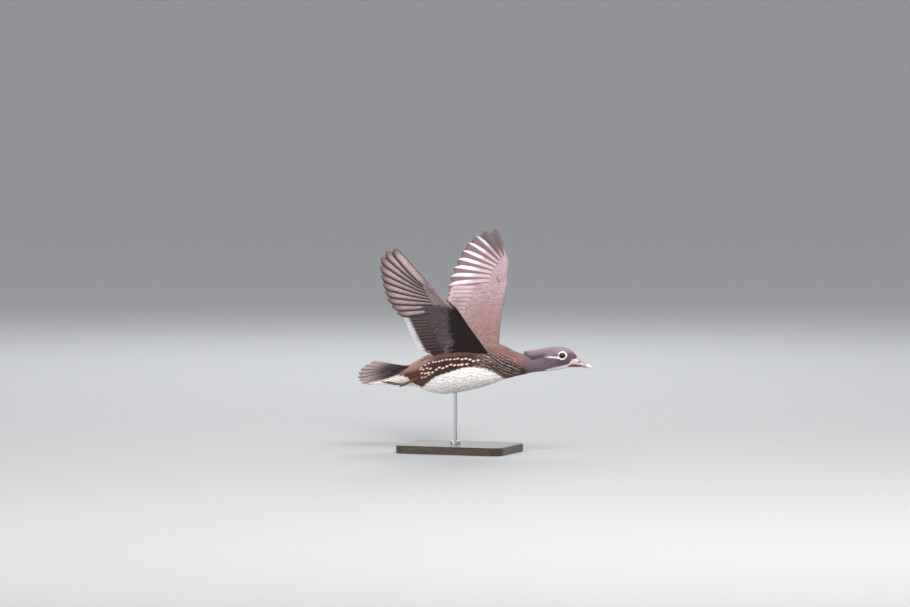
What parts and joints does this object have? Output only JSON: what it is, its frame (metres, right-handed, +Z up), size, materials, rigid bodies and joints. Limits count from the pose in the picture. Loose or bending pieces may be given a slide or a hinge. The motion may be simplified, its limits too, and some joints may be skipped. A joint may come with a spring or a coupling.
{
  "type": "female mandarin duck in flight",
  "caption": "Life-size female mandarin duck in level flight with both wings raised, held above a plain flat base by a slim upright rod.",
  "frame": {"origin": "centre of the display base's underside", "axes": "+X towards the bill, +Y to the bird's left, +Z up from the base"},
  "size_m": [0.4256, 0.4596, 0.3847],
  "materials": {
    "plumage_head": "soft fine feathering",
    "plumage_body": "soft feathering",
    "plumage_rump": "soft feathering",
    "plumage_wing": "feather vanes",
    "plumage_tail": "feather vanes",
    "bill": "smooth horn",
    "eye": "wet and glossy",
    "leg_skin": "scaly skin",
    "base_wood": "dark stained, satin",
    "stand_steel": "brushed"
  },
  "bodies": {
    "root": {"torso": "plumage_body", "rump": "plumage_rump", "neck": "plumage_body", "head": "plumage_head", "bill_upper": "bill", "bill_lower": "bill", "eye_left": "eye", "eye_right": "eye", "wing_left_inner": "plumage_wing", "wing_left_outer": "plumage_wing", "wing_right_inner": "plumage_wing", "wing_right_outer": "plumage_wing", "tail": "plumage_tail", "leg_left": "leg_skin", "leg_right": "leg_skin", "foot_left": "leg_skin", "foot_right": "leg_skin", "stand_base": "base_wood", "stand_collar": "stand_steel", "stand_rod": "stand_steel"}
  },
  "joints": []
}
